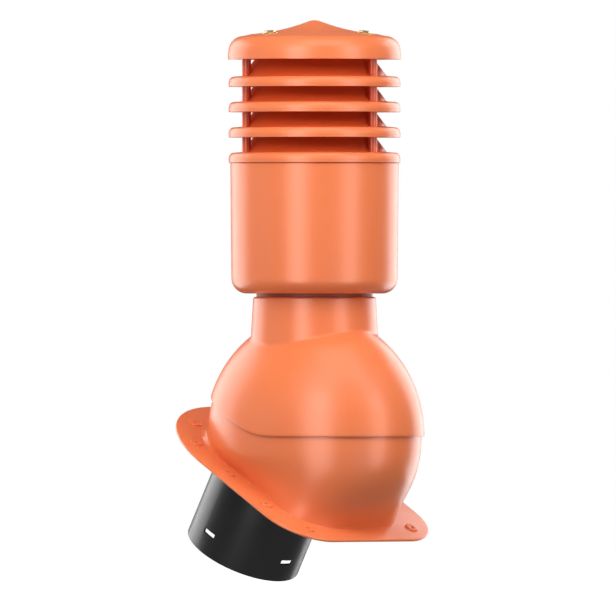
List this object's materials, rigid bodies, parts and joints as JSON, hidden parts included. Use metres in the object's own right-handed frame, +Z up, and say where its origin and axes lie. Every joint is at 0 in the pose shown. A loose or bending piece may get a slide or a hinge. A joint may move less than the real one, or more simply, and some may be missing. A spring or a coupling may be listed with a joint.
{
  "type": "roof ventilation chimney",
  "caption": "Plastic roof ventilation chimney: swivelling ball joint on a sloping roof flange, upright neck and housing, louvre rings, rain cap and a duct connection pipe.",
  "frame": {"origin": "on the underside of the roof flange, on the centre line of its downhill fixing strip, where the flange lies on the roof", "axes": "+Z up, along the upright neck at rest; +X level, downhill; +Y level, along the roof and along the ball joint's axis. The roof falls 30 degrees from level towards +X."},
  "size_m": [0.3489, 0.271, 0.7119],
  "materials": {
    "orange_plastic": "satin moulded plastic, brick orange",
    "black_pipe": "satin black pipe",
    "dark_pipe": "matt dark brown pipe",
    "yellow_zinc": "yellow passivated zinc on steel"
  },
  "bodies": {
    "base": {"roof_base": "orange_plastic", "connection_pipe": "black_pipe"},
    "head": {"ball_dome_neck": "orange_plastic", "inner_pipe": "dark_pipe", "housing": "orange_plastic", "housing_top_ring": "orange_plastic", "louvre_ring_3": "orange_plastic", "louvre_ring_2": "orange_plastic", "louvre_ring_1": "orange_plastic", "rain_cap": "orange_plastic", "cap_screw_1": "yellow_zinc", "cap_screw_2": "yellow_zinc", "cap_screw_3": "yellow_zinc"}
  },
  "joints": [
    {"name": "pitch_adjustment", "type": "hinge", "parent": "base", "child": "head", "pos_m": [-0.09037, 0, 0.12608], "axis": [0, 1, 0], "range_deg": [-15, 15]}
  ]
}
